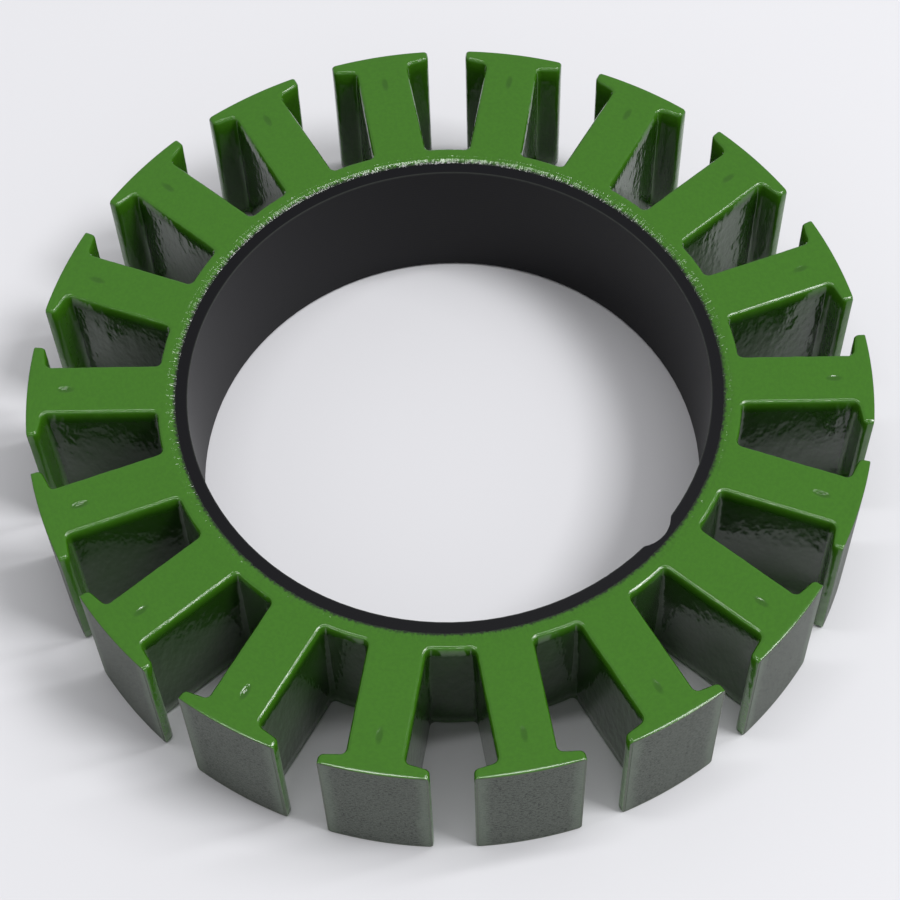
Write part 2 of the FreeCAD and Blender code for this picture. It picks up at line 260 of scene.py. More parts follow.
class NodeGroup:
    """A shader node group with named inputs and outputs, built once and placed many times."""

    def __init__(self, name: str, inputs: dict[str, float], outputs: dict[str, str]) -> None:
        """Make the group's interface.

        Args:
            name: The group's name.
            inputs: Each input's name and its default, a number.
            outputs: Each output's name and its socket type.
        """
        self.group = bpy.data.node_groups.new(name, "ShaderNodeTree")
        self.nodes = Nodes(self.group)
        face = self.group.interface
        for label, value in inputs.items():
            socket = face.new_socket(label, in_out="INPUT", socket_type="NodeSocketFloat")
            socket.default_value = value
        for label, kind in outputs.items():
            face.new_socket(label, in_out="OUTPUT", socket_type=kind)
        self.inputs = self.nodes.add("NodeGroupInput").outputs
        self.outputs = self.nodes.add("NodeGroupOutput").inputs

    def place(self, nodes: Nodes, **values: object) -> bpy.types.Node:
        """Place the group in a material.

        Args:
            nodes: The material's nodes.
            values: Constants or sockets for its inputs, by name.

        Returns:
            The group's node.
        """
        node = nodes.add("Group", node_tree=self.group)
        for label, value in values.items():
            nodes.join(value, node.inputs[label])
        return node


class Effects:
    """The effects that the finishes share."""

    # Features per metre of the fused skin's three layers.
    LUMP_SCALE, BEAD_SCALE, PEEL_SCALE = 520.0, 1250.0, 3200.0

    def __init__(self) -> None:
        """Build both groups."""
        self.rings = self.build_rings()
        self.skin = self.build_skin()

    @staticmethod
    def build_rings() -> NodeGroup:
        """Build the group that measures a point from the stack's axis.

        Returns:
            A group that gives the radius, the height, the point unrolled around the axis (arc,
            height, radius) and the distance across the tooth from its middle plane.
        """
        group = NodeGroup(
            "around_the_axis",
            {"Unroll Radius": POLE_RADIUS * MM},
            {
                "Radius": "NodeSocketFloat",
                "Height": "NodeSocketFloat",
                "Across": "NodeSocketFloat",
                "Unrolled": "NodeSocketVector",
            },
        )
        n = group.nodes
        place = n.add("SeparateXYZ")
        n.join(n.add("TexCoord").outputs["Object"], place.inputs[0])
        x, y, z = place.outputs
        radius = n.math("SQRT", n.squares(x, y))
        n.join(radius, group.outputs["Radius"])
        n.join(z, group.outputs["Height"])
        turn = n.math("ARCTAN2", y, x)
        pitch = math.tau / TEETH
        offset = n.math("WRAP", turn, pitch / 2, -pitch / 2)
        n.join(n.math("MULTIPLY", offset, radius), group.outputs["Across"])
        unrolled = n.add("CombineXYZ")
        n.join(n.math("MULTIPLY", turn, group.inputs["Unroll Radius"]), unrolled.inputs[0])
        n.join(z, unrolled.inputs[1])
        n.join(radius, unrolled.inputs[2])
        n.join(unrolled.outputs[0], group.outputs["Unrolled"])
        return group

    @classmethod
    def build_skin(cls) -> NodeGroup:
        """Build the lumps, beads and orange peel of a fused coat.

        Returns:
            A group that takes the depth of each layer and of an extra height, all in metres,
            and how far the lumps and beads are drawn out upright, and gives a bumped normal.
        """
        group = NodeGroup(
            "fused_skin",
            {
                "Lumps": 0.03 * MM,
                "Beads": 0.02 * MM,
                "Peel": 0.003 * MM,
                "Extra": 0.0,
                "Upright": 0.45,
            },
            {"Normal": "NodeSocketVector"},
        )
        n = group.nodes
        place = n.add("TexCoord").outputs["Object"]
        squash = n.add("CombineXYZ")
        for side in squash.inputs[:2]:
            side.default_value = 1.0
        n.join(group.inputs["Upright"], squash.inputs[2])
        drawn = n.add("VectorMath", operation="MULTIPLY")
        n.join(place, drawn.inputs[0])
        n.join(squash.outputs[0], drawn.inputs[1])
        layers = (
            (drawn.outputs[0], cls.LUMP_SCALE, "Lumps"),
            (drawn.outputs[0], cls.BEAD_SCALE, "Beads"),
            (place, cls.PEEL_SCALE, "Peel"),
        )
        lumps, beads, peel = (
            n.math("MULTIPLY", n.noise(point, scale, detail=1.0), group.inputs[label])
            for point, scale, label in layers
        )
        height = n.math("ADD", n.math("ADD", lumps, beads), peel)
        height = n.math("ADD", height, group.inputs["Extra"])
        n.join(n.bump(height), group.outputs["Normal"])
        return group


# ----------------------------------------
# Finishes
# ----------------------------------------


@dataclass(frozen=True)
class PowderFinish:
    """Glossy green epoxy powder, fused and lumpy, thin at the rim and ground at the pole faces.

    Lengths are in metres.  A depth is measured from the nearer end face, and a band is where a
    change starts and where it ends.
    """

    name: str = "green_powder_coat"
    green: Colour = (54, 103, 20)
    # A darker green painted as shade on the slot walls and in the dimples.
    flank_shade_green: Colour = (32, 66, 13)
    thin_green: Colour = (22, 34, 20)
    ground_olive: Colour = (66, 76, 60)
    roughness: float = 0.13
    added_ground_roughness: float = 0.35
    gloss: float = 0.5
    added_flank_gloss: float = -0.12
    pole_radius: float = 49.97 * MM
    ground_fade: float = 0.02 * MM
    rim_radius: float = RIM_RADIUS * MM
    slope_radius: float = SLOPE_RADIUS * MM
    slope_fade: float = 0.3 * MM
    middle: float = COATED_HEIGHT / 2 * MM
    neck: float = 47.4 * MM
    neck_fade: float = 0.5 * MM
    flank_depth: Span = (0.3 * MM, 2.0 * MM)
    edge_depth: Span = (0.05 * MM, 0.16 * MM)
    grain_scale: float = 2600.0
    grain_band: Span = (0.3, 0.7)
    grain_share: float = 0.16
    dimple_radius: float = 45.45 * MM
    # The size, edge and strength of the shade painted in each dimple.
    dimple_shade_reach: Span = (1.1 * MM, 0.42 * MM)
    dimple_shade_band: Span = (0.1, 1.3)
    dimple_shade_share: float = 0.45
    rim_wander: float = 0.8 * MM
    thin_band: Span = (-0.4 * MM, 0.1 * MM)
    ridge_stretch: Triple = (1.0, 0.2, 0.28)
    ridge_scale: float = 2300.0
    ridge_height: float = 0.15 * MM
    face_lumps: float = 0.006 * MM
    wall_lumps: float = 0.06 * MM
    face_beads: float = 0.003 * MM
    wall_beads: float = 0.065 * MM
    peel: float = 0.0025 * MM

    def build(self, effects: Effects) -> bpy.types.Material:
        """Build the material.

        Args:
            effects: The shared groups.

        Returns:
            The material.
        """
        material, n = new_material(self.name)
        rings = effects.rings.place(n, **{"Unroll Radius": self.slope_radius})
        radius = rings.outputs["Radius"]
        depth = n.math("PINGPONG", rings.outputs["Height"], self.middle)
        inward = n.ramp(radius, self.neck, self.neck + self.neck_fade, 1.0, 0.0)
        # The flank mask places the painted shade on the slot walls and lowers their gloss.
        flank = n.math("MULTIPLY", n.ramp(depth, *self.flank_depth), inward)
        ground = n.ramp(radius, self.pole_radius - self.ground_fade, self.pole_radius)
        base = n.mix(ground, self.paint(n, rings, flank), linear(*self.ground_olive))

        edge = n.ramp(depth, *self.edge_depth)
        skin = effects.skin.place(
            n,
            Lumps=n.math("MULTIPLY_ADD", edge, self.wall_lumps, self.face_lumps),
            Beads=n.math("MULTIPLY_ADD", edge, self.wall_beads, self.face_beads),
            Extra=self.ridges(n, rings),
            Peel=self.peel,
        )
        shader = n.add("BsdfPrincipled")
        roughness = n.math("MULTIPLY_ADD", ground, self.added_ground_roughness, self.roughness)
        gloss = n.math("MULTIPLY_ADD", flank, self.added_flank_gloss, self.gloss)
        n.join(base, shader.inputs["Base Color"])
        n.join(roughness, shader.inputs["Roughness"])
        n.join(gloss, shader.inputs["Specular IOR Level"])
        n.join(skin.outputs["Normal"], shader.inputs["Normal"])
        n.join(shader.outputs[0], n.add("OutputMaterial").inputs[0])
        return material

    def paint(self, n: Nodes, rings: bpy.types.Node, flank: Socket) -> Socket:
        """Colour the powder: painted shade on the flanks and in the dimples, and thin at the rim.

        Args:
            n: The material's nodes.
            rings: The placed group of measures from the axis.
            flank: A mask, 1 well down a slot's wall and 0 at the end faces, that places the
                painted shade.

        Returns:
            The colour's socket.
        """
        radius, dark = rings.outputs["Radius"], linear(*self.flank_shade_green)
        # Painted shade: the slot walls get the darker green, as if the slots shaded them.
        base = n.mix(flank, linear(*self.green), dark)
        grain = n.noise(rings.outputs["Unrolled"], self.grain_scale, roughness=0.6)
        base = n.mix(n.ramp(grain, *self.grain_band, 0.0, self.grain_share), base, dark)

        # Painted shade in the dimples over the interlocks: a soft, darker oval.
        from_dimple = n.math("SUBTRACT", radius, self.dimple_radius)
        along = n.math("DIVIDE", from_dimple, self.dimple_shade_reach[0])
        across = n.math("DIVIDE", rings.outputs["Across"], self.dimple_shade_reach[1])
        reach = n.squares(along, across)
        base = n.mix(n.ramp(reach, *self.dimple_shade_band, self.dimple_shade_share, 0.0), base, dark)

        wander = n.math("MULTIPLY", grain, self.rim_wander)
        from_rim = n.math("SUBTRACT", n.math("SUBTRACT", radius, wander), self.rim_radius)
        thin = n.ramp(from_rim, *self.thin_band, 1.0, 0.0)
        return n.mix(thin, base, linear(*self.thin_green))

    def ridges(self, n: Nodes, rings: bpy.types.Node) -> Socket:
        """Raise radial ridges on the slope at the rim.

        Args:
            n: The material's nodes.
            rings: The placed group of measures from the axis.

        Returns:
            The ridges' height, as a socket.
        """
        radius = rings.outputs["Radius"]
        slope = n.ramp(radius, self.slope_radius, self.slope_radius + self.slope_fade, 1.0, 0.0)
        drawn = n.stretch(rings.outputs["Unrolled"], self.ridge_stretch)
        ridges = n.math("SUBTRACT", n.noise(drawn, self.ridge_scale, roughness=0.6), 0.5)
        return n.math("MULTIPLY", n.math("MULTIPLY", ridges, self.ridge_height), slope)


@dataclass(frozen=True)
class SheetFinish:
    """Electrical steel: ground bare at the pole faces, dark oxide at the bore and its rim.

    Lengths are in metres, and a band is where a change starts and where it ends.
    """

    name: str = "electrical_steel"
    ground: Colour = (97, 103, 95)
    streak: Colour = (40, 46, 40)
    smear: Colour = (112, 124, 110)
    oxide: Colour = (17, 17, 20)
    gloss: float = 0.1
    pole_metallic: float = 0.4
    bore_roughness: float = 0.42
    pole_roughness: float = 0.48
    pole_radius: float = 49.0 * MM
    pole_fade: float = 0.1 * MM
    sheet: float = SHEET_THICKNESS * MM
    first_sheet: float = COAT_THICKNESS * MM
    stack_top: float = (COATED_HEIGHT - COAT_THICKNESS) * MM
    streak_stretch: Triple = (0.45, 1.0, 1.0)
    streak_scale: float = 4600.0
    streak_band: Span = (0.5, 0.36)
    grain_scale: float = 6500.0
    grain_band: Span = (0.4, 0.6)
    grain_dark: float = 0.45
    blotch_scale: float = 240.0
    blotch_band: Span = (0.3, 0.7)
    blotch_dark: Span = (0.5, 1.0)
    seam_width: float = 0.16
    seam_dark: float = 0.35
    half_face: float = 5.9 * MM
    smear_wave: float = 1.6 * MM
    smear_band: Span = (-0.9 * MM, 0.6 * MM)
    smear_share: float = 0.55
    # Where the painted highlight along the bore's top edge lies, and how strong it is.
    edge_highlight_depth: Span = (0.3 * MM, 0.1 * MM)
    edge_highlight_radius: Span = (BORE_RADIUS * MM, 31.15 * MM)
    edge_highlight_share: float = 0.2
    relief: float = 0.01 * MM
    seam_relief: float = 0.6
    bore_relief: float = 0.5

    def build(self, effects: Effects) -> bpy.types.Material:
        """Build the material.

        Args:
            effects: The shared groups.

        Returns:
            The material.
        """
        material, n = new_material(self.name)
        rings = effects.rings.place(n)
        radius, unrolled = rings.outputs["Radius"], rings.outputs["Unrolled"]
        pole = n.ramp(radius, self.pole_radius - self.pole_fade, self.pole_radius)
        drawn = n.stretch(unrolled, self.streak_stretch)
        streaks = n.noise(drawn, self.streak_scale, roughness=0.6)
        seam = self.seams(n, rings)

        shader = n.add("BsdfPrincipled")
        bare = self.paint_pole_face(n, rings, streaks, seam)
        n.join(n.mix(pole, self.paint_bore(n, rings), bare), shader.inputs["Base Color"])
        shader.inputs["Specular IOR Level"].default_value = self.gloss
        n.join(n.math("MULTIPLY", pole, self.pole_metallic), shader.inputs["Metallic"])
        roughness = n.ramp(pole, 0.0, 1.0, self.bore_roughness, self.pole_roughness)
        n.join(roughness, shader.inputs["Roughness"])
        relief = n.math("SUBTRACT", streaks, n.math("MULTIPLY", seam, self.seam_relief))
        relief = n.math("MULTIPLY", relief, self.relief)
        relief = n.math("MULTIPLY", relief, n.ramp(pole, 0.0, 1.0, self.bore_relief, 1.0))
        n.join(n.bump(relief), shader.inputs["Normal"])
        n.join(shader.outputs[0], n.add("OutputMaterial").inputs[0])
        return material

    def seams(self, n: Nodes, rings: bpy.types.Node) -> Socket:
        """Mark the joints between the sheets.

        Args:
            n: The material's nodes.
            rings: The placed group of measures from the axis.

        Returns:
            A socket that is 1 at a joint and 0 away from it.
        """
        from_first = n.math("SUBTRACT", rings.outputs["Height"], self.first_sheet)
        level = n.math("DIVIDE", from_first, self.sheet)
        return n.ramp(n.math("PINGPONG", level, 0.5), 0.0, self.seam_width, 1.0, 0.0)

    def paint_pole_face(
        self, n: Nodes, rings: bpy.types.Node, streaks: Socket, seam: Socket
    ) -> Socket:
        """Colour the ground steel, with dark streaks and powder smeared in from the sides.

        Args:
            n: The material's nodes.
            rings: The placed group of measures from the axis.
            streaks: The grinding marks' noise.
            seam: The joints between the sheets.

        Returns:
            The colour's socket.
        """
        grain = n.noise(rings.outputs["Unrolled"], self.grain_scale, detail=1.0)
        blotch = n.noise(rings.outputs["Unrolled"], self.blotch_scale)
        marks = n.ramp(streaks, *self.streak_band)
        dark = n.math("MAXIMUM", marks, n.math("MULTIPLY", seam, self.seam_dark))
        blotches = n.ramp(blotch, *self.blotch_band, *self.blotch_dark)
        dark = n.math("MULTIPLY", dark, blotches)
        specks = n.ramp(grain, *self.grain_band)
        dark = n.math("MULTIPLY_ADD", specks, self.grain_dark, dark, clamp=True)
        bare = n.mix(dark, linear(*self.ground), linear(*self.streak))

        side = n.math("ABSOLUTE", rings.outputs["Across"])
        wavy = n.math("MULTIPLY_ADD", blotch, self.smear_wave, side)
        near_side = n.ramp(wavy, *(self.half_face + shift for shift in self.smear_band))
        return n.mix(n.math("MULTIPLY", near_side, self.smear_share), bare, linear(*self.smear))

    def paint_bore(self, n: Nodes, rings: bpy.types.Node) -> Socket:
        """Colour the oxide, with a painted highlight along the bore's upper edge.

        Args:
            n: The material's nodes.
            rings: The placed group of measures from the axis.

        Returns:
            The colour's socket.
        """
        radius, height = rings.outputs["Radius"], rings.outputs["Height"]
        # Painted highlight: ground-steel colour mixed into the oxide at the bore's top edge, in
        # place of the glint on its rounding.
        at_top = n.ramp(height, *(self.stack_top - depth for depth in self.edge_highlight_depth))
        at_bore = n.ramp(radius, *self.edge_highlight_radius, self.edge_highlight_share, 0.0)
        painted_edge_highlight = n.math("MULTIPLY", at_top, at_bore)
        return n.mix(painted_edge_highlight, linear(*self.oxide), linear(*self.ground))


# ----------------------------------------
# The powder coat
# ----------------------------------------


@dataclass
class PowderCoat:
    """The fused coat over the stack, open at the bore and ground flush at the pole faces.

    Half a tooth pitch is drawn flat, raised, rounded and mirrored.  The tooth's skin gets its
    wall and is repeated around the axis, and then the outer side gets its lumps, its dimples
    and its ragged rim.  Sizes are in millimetres until the piece is finished, and angles are in
    degrees.
    """

    # The outline.
    teeth: int = TEETH
    thickness: float = COAT_THICKNESS
    height: float = COATED_HEIGHT
    pole_radius: float = POLE_RADIUS
    slot_radius: float = 34.6
    half_shank: float = 3.3
    half_tip: float = 6.2
    neck: float = 47.95
    tip_shoulder: float = 48.364
    corner_reach: float = 0.585
    corner_steps: int = 5
    edge_round: float = 0.45
    edge_steps: int = 4
    ground_edge: float = 0.1
    ground_steps: int = 2
    ground_angle: float = 30.0
    sharp: float = 48.0

    # The cells.
    ring_radius: float = 34.0
    ring_rows: tuple[float, ...] = (33.7, SLOPE_RADIUS, 33.2, 33.0, 32.8, 32.6, RIM_RADIUS)
    ring_columns: int = 30
    ring_reach: float = 0.01
    slot_reach: float = 0.1
    wall_rows: int = 5
    cell: float = 0.47
    root_cuts: Span = (34.35, 34.75)
    tip_cuts: tuple[float, ...] = (47.75, 48.2, 48.65, 49.05, 49.4)
    dimple_margin: float = 0.8
    dimple_cell: float = 0.11
    dimple_rows: int = 6
    inner_angle: float = 2.0

    # The rim.
    rim_radius: float = RIM_RADIUS
    slope_radius: float = SLOPE_RADIUS
    rim_lip: float = 0.05
    rim_sink: float = 0.02
    rim_tilt: float = 0.2
    ridge_height: float = 0.015
    ridge_scale: float = 1.6
    fine_ridge_scale: float = 3.1
    fine_ridge_share: float = 0.7
    wave_width: float = 0.05
    wave_scale: float = 0.8
    nick_width: float = 0.09
    nick_scale: float = 3.3

    # The lumps, which only go inward, and the dimples.
    lump_scale: float = 0.55
    ripple_scale: float = 1.5
    face_lump: float = 0.015
    face_ripple: float = 0.008
    edge_lump: float = 0.05
    edge_ripple: float = 0.09
    pole_sink: float = 1.4
    end_face_normal: float = 0.9
    dimple_radius: float = 45.4
    dimple_length: float = 2.1
    dimple_width: float = 0.85
    dimple_depth: float = 0.2
    dimple_power: float = 1.2
    deep_dimples: tuple[int, ...] = (-7, -6, -4, 1)
    shallow_share: float = 0.35

    def build(self) -> bpy.types.Object:
        """Build the coat.

        Returns:
            The finished piece, not yet dressed.
        """
        mesh = bmesh.new()
        self.draw_half_pitch(mesh)
        self.refine_face(mesh)
        self.complete_tooth(mesh)
        self.give_wall(mesh)
        self.complete_ring(mesh)
        self.shape_surface(mesh)
        return self.finish(mesh)

    def polar(self, radius: float, degrees: float) -> Vector:
        """Return the point of the top face at a radius and an angle about the axis."""
        angle = math.radians(degrees)
        return Vector((radius * math.cos(angle), radius * math.sin(angle), self.height))

    @staticmethod
    def near(vert: bmesh.types.BMVert, radius: float, reach: float = SAME) -> bool:
        """Tell whether a vertex lies at a radius about the axis."""
        return abs(vert.co.xy.length - radius) < reach

    @staticmethod
    def flat(item: object, height: float) -> bool:
        """Tell whether all of an edge or a face lies at a height."""
        return all(abs(v.co.z - height) < SAME for v in item.verts)

    @staticmethod
    def set_radius(vert: bmesh.types.BMVert, radius: float) -> None:
        """Move a vertex out or in to a radius about the axis."""
        vert.co.xy = vert.co.xy.normalized() * radius

    @staticmethod
    def key(vert: bmesh.types.BMVert) -> tuple[float, ...]:
        """Return a vertex's place, rounded so that it can be looked up."""
        return tuple(round(c, KEY_DIGITS) for c in vert.co)

    @staticmethod
    def round_off(
        mesh: bmesh.types.BMesh, geometry: list, offset: float, steps: int, affect: str
    ) -> None:
        """Bevel vertices or edges with a round profile.

        Args:
            mesh: The mesh.
            geometry: What is bevelled.
            offset: How far the bevel reaches.
            steps: Its number of segments.
            affect: Blender's name for the kind of bevel, VERTICES or EDGES.
        """
        bmesh.ops.bevel(
            mesh,
            geom=geometry,
            offset=offset,
            offset_type="OFFSET",
            segments=steps,
            profile=0.5,
            affect=affect,
            material=-1,
        )

    def draw_half_pitch(self, mesh: bmesh.types.BMesh) -> None:
        """Draw half a tooth pitch of the top face, with its wall and rounded edge.

        Args:
            mesh: The mesh that gets the faces.
        """
        half_pitch = 180 / self.teeth
        shank_root = math.sqrt(self.slot_radius**2 - self.half_shank**2)
        tip_end = math.sqrt(self.pole_radius**2 - self.half_tip**2)
        top = self.height
        corners = [
            Vector((self.ring_radius, 0, top)),
            Vector((self.pole_radius, 0, top)),
            Vector((tip_end, self.half_tip, top)),
            Vector((self.tip_shoulder, self.half_tip, top)),
            Vector((self.neck, self.half_shank, top)),
            Vector((shank_root, self.half_shank, top)),
            self.polar(self.slot_radius, half_pitch),
            self.polar(self.ring_radius, half_pitch),
        ]
        verts = [mesh.verts.new(c) for c in corners]
        mesh.faces.new(verts)
        shoulder_neck_and_root = verts[3:6]
        for vert in shoulder_neck_and_root:
            self.round_off(mesh, [vert], self.corner_reach, self.corner_steps, "VERTICES")
        self.divide_outline(mesh)
        self.raise_wall(mesh)
        self.round_pole_face(mesh, Vector((tip_end, self.half_tip)))

    def divide_outline(self, mesh: bmesh.types.BMesh) -> None:
        """Divide the outline into cells and bend its arcs to their radii.

        Args:
            mesh: The top face of half a pitch.
        """
        inner = [e for e in mesh.edges if all(self.near(v, self.ring_radius) for v in e.verts)]
        bmesh.ops.subdivide_edges(mesh, edges=inner, cuts=self.ring_columns - 1)
        for vert in mesh.verts:
            if vert.co.x < self.ring_radius + SAME:
                self.set_radius(vert, self.ring_radius)
        for edge in self.outline(mesh):
            parts = round(edge.calc_length() / self.cell)
            if parts > 1:
                at_slot = all(self.near(v, self.slot_radius, self.slot_reach) for v in edge.verts)
                added = bmesh.ops.subdivide_edges(mesh, edges=[edge], cuts=parts - 1)
                for item in added["geom_inner"]:
                    if at_slot and isinstance(item, bmesh.types.BMVert):
                        self.set_radius(item, self.slot_radius)

    def raise_wall(self, mesh: bmesh.types.BMesh) -> None:
        """Draw the slot's wall down to the middle of the stack and round its upper edge.

        Args:
            mesh: The top face of half a pitch, with its outline divided.
        """
        walls = bmesh.ops.extrude_edge_only(mesh, edges=self.outline(mesh))["geom"]
        lower = [g for g in walls if isinstance(g, bmesh.types.BMVert)]
        bmesh.ops.translate(mesh, verts=lower, vec=(0, 0, -self.height / 2))
        self.round_off(mesh, self.outline(mesh), self.edge_round, self.edge_steps, "EDGES")
        tall = self.height / 4
        upright = [e for e in mesh.edges if abs(e.verts[0].co.z - e.verts[1].co.z) > tall]
        bmesh.ops.subdivide_edges(mesh, edges=upright, cuts=self.wall_rows - 1, use_grid_fill=True)

    def round_pole_face(self, mesh: bmesh.types.BMesh, end: Vector) -> None:
        """Divide the straight line along the pole face and bend it to the pole radius.

        Args:
            mesh: The mesh.
            end: Where the line meets the tip's end, in plan.
        """
        middle = Vector((self.pole_radius, 0))
        along = (end - middle).normalized()
        across = Vector((along.y, -along.x))

        def on_line() -> set[bmesh.types.BMVert]:
            """Return the vertices of the pole face."""
            return {v for v in mesh.verts if abs((v.co.xy - middle).dot(across)) < WELD}

        verts = on_line()
        edges = [e for e in mesh.edges if verts.issuperset(e.verts) and self.flat(e, self.height)]
        face_edge = max(edges, key=lambda e: e.calc_length())
        parts = round(face_edge.calc_length() / self.cell)
        bmesh.ops.subdivide_edges(mesh, edges=[face_edge], cuts=parts - 1)
        for vert in on_line():
            self.set_radius(vert, self.pole_radius)

    def outline(self, mesh: bmesh.types.BMesh) -> list[bmesh.types.BMEdge]:
        """Find the top face's edges along the slot, from the pitch line to the pole face.

        Args:
            mesh: The top face of half a pitch.

        Returns:
            The edges.
        """
        half_pitch = math.radians(180 / self.teeth)

        def on_slot(edge: bmesh.types.BMEdge) -> bool:
            """Tell whether an edge bounds the slot."""
            middle = (edge.verts[0].co + edge.verts[1].co).xy / 2
            at_pitch_line = abs(math.atan2(middle.y, middle.x) - half_pitch) < SAME
            at_axis_line = middle.y < SAME
            at_ring = middle.length < self.ring_radius + self.ring_reach
            at_pole = all(self.near(v, self.pole_radius) for v in edge.verts)
            return self.flat(edge, self.height) and not (
                at_pitch_line or at_axis_line or at_ring or at_pole
            )

        return [e for e in mesh.edges if on_slot(e)]

    def refine_face(self, mesh: bmesh.types.BMesh) -> None:
        """Lay the ring around the bore and divide the top face into cells.

        Args:
            mesh: The half pitch that draw_half_pitch made.
        """
        ring = [
            e
            for e in mesh.edges
            if self.flat(e, self.height) and all(self.near(v, self.ring_radius) for v in e.verts)
        ]
        every_second_line = sorted(v.co.y for v in {v for e in ring for v in e.verts})[2:-1:2]
        for radius in self.ring_rows:
            added = bmesh.ops.extrude_edge_only(mesh, edges=ring)["geom"]
            verts = [g for g in added if isinstance(g, bmesh.types.BMVert)]
            for vert in verts:
                self.set_radius(vert, radius)
            reached = set(verts)
            edges = [g for g in added if isinstance(g, bmesh.types.BMEdge)]
            ring = [e for e in edges if reached.issuperset(e.verts)]

        shank = self.half_shank - self.edge_round
        columns = sorted({round(v.co.x, 4) for v in mesh.verts if self.on_shank_line(v, shank)})
        for at in every_second_line:
            self.cut(mesh, ACROSS, at)
        for at in (*self.root_cuts, *columns, *self.tip_cuts):
            self.cut(mesh, ALONG, at)
        self.refine_dimple(mesh, columns)

    def on_shank_line(self, vert: bmesh.types.BMVert, half_width: float) -> bool:
        """Tell whether a vertex lies on the flat's edge along the shank."""
        return abs(vert.co.y - half_width) < WELD and abs(vert.co.z - self.height) < SAME

    def cut(
        self, mesh: bmesh.types.BMesh, axis: Vector, at: float, where: Triple | None = None
    ) -> None:
        """Cut the cells of the top face by an upright plane.

        Args:
            mesh: The mesh.
            axis: The plane's normal.
            at: How far along the axis the plane is.
            where: If given, only the cells between the first two distances along the tooth and
                within the third of its middle are cut.
        """
        outside_ring = self.ring_radius - WELD
        faces = [
            f
            for f in mesh.faces
            if self.flat(f, self.height) and all(v.co.xy.length > outside_ring for v in f.verts)
        ]
        if where:
            faces = [f for f in faces if self.within(f, *where)]
        edges = {e for f in faces for e in f.edges}
        verts = {v for f in faces for v in f.verts}
        bmesh.ops.bisect_plane(
            mesh, geom=[*faces, *edges, *verts], dist=WELD, plane_co=axis * at, plane_no=axis
        )

    @staticmethod
    def within(face: bmesh.types.BMFace, low: float, high: float, reach: float) -> bool:
        """Tell whether a face's middle lies in a stretch of the tooth."""
        middle = face.calc_center_median()
        return low < middle.x < high and middle.y < reach

    def refine_dimple(self, mesh: bmesh.types.BMesh, columns: list[float]) -> None:
        """Divide the cells around a dimple more finely.

        Args:
            mesh: The mesh.
            columns: Where the cells across the tooth start.
        """
        low = self.dimple_radius - self.dimple_margin * self.dimple_length
        high = self.dimple_radius + self.dimple_margin * self.dimple_length
        where = (low, high, self.dimple_margin * self.dimple_width)
        for step in range(1, self.dimple_rows + 1):
            self.cut(mesh, ACROSS, self.dimple_cell * step, where)
        inside = [c for c in columns if low < c < high]
        for first, second in zip(inside, inside[1:]):
            self.cut(mesh, ALONG, (first + second) / 2, where)

    def complete_tooth(self, mesh: bmesh.types.BMesh) -> None:
        """Mirror the half pitch across the tooth and across the middle of the stack.

        Args:
            mesh: The half pitch.
        """
        middle = Vector((0, 0, self.height / 2))
        bmesh.ops.translate(mesh, verts=mesh.verts, vec=-middle)
        for axis in "YZ":
            geometry = mesh.verts[:] + mesh.edges[:] + mesh.faces[:]
            bmesh.ops.mirror(mesh, geom=geometry, matrix=Matrix(), merge_dist=WELD, axis=axis)
        bmesh.ops.translate(mesh, verts=mesh.verts, vec=middle)
        bmesh.ops.recalc_face_normals(mesh, faces=mesh.faces)
        top = next(f for f in mesh.faces if self.flat(f, self.height))
        if top.normal.z < 0:
            bmesh.ops.reverse_faces(mesh, faces=mesh.faces)

    def give_wall(self, mesh: bmesh.types.BMesh) -> None:
        """Give one tooth's skin its thickness, down to the steel, and mark the outer side.

        Args:
            mesh: One tooth's skin, open at the pitch lines, the pole face and the rim.
        """
        mark = mesh.verts.layers.int.new(OUTER)
        places = {self.key(v) for v in mesh.verts}
        bmesh.ops.solidify(mesh, geom=mesh.faces[:], thickness=self.thickness)
        inner = []
        for vert in mesh.verts:
            vert[mark] = self.key(vert) in places
            if not vert[mark]:
                vert.co.z = min(max(vert.co.z, self.thickness), self.height - self.thickness)
                inner.append(vert)
        cuts = [f for f in mesh.faces if all(self.at_pitch_line(v) for v in f.verts)]
        bmesh.ops.delete(mesh, geom=cuts, context="FACES")
        kept = set(inner)
        bmesh.ops.dissolve_limit(
            mesh,
            angle_limit=math.radians(self.inner_angle),
            use_dissolve_boundaries=False,
            verts=[v for v in inner if not v.is_boundary],
            edges=[e for e in mesh.edges if kept.issuperset(e.verts) and not e.is_boundary],
        )

    def at_pitch_line(self, vert: bmesh.types.BMVert) -> bool:
        """Tell whether a vertex lies halfway between two teeth."""
        turn = abs(math.atan2(vert.co.y, vert.co.x))
        return abs(turn - math.pi / self.teeth) < 2 * SAME

    def complete_ring(self, mesh: bmesh.types.BMesh) -> None:
        """Repeat one tooth all around the ring.

        Args:
            mesh: One tooth's wall, which becomes the closed coat.
        """
        bmesh.ops.spin(
            mesh,
            geom=mesh.verts[:] + mesh.edges[:] + mesh.faces[:],
            cent=(0, 0, 0),
            axis=(0, 0, 1),
            angle=math.tau * (self.teeth - 1) / self.teeth,
            steps=self.teeth - 1,
            use_duplicate=True,
        )
        bmesh.ops.remove_doubles(mesh, verts=mesh.verts, dist=SEAM_WELD)
        bmesh.ops.recalc_face_normals(mesh, faces=mesh.faces)

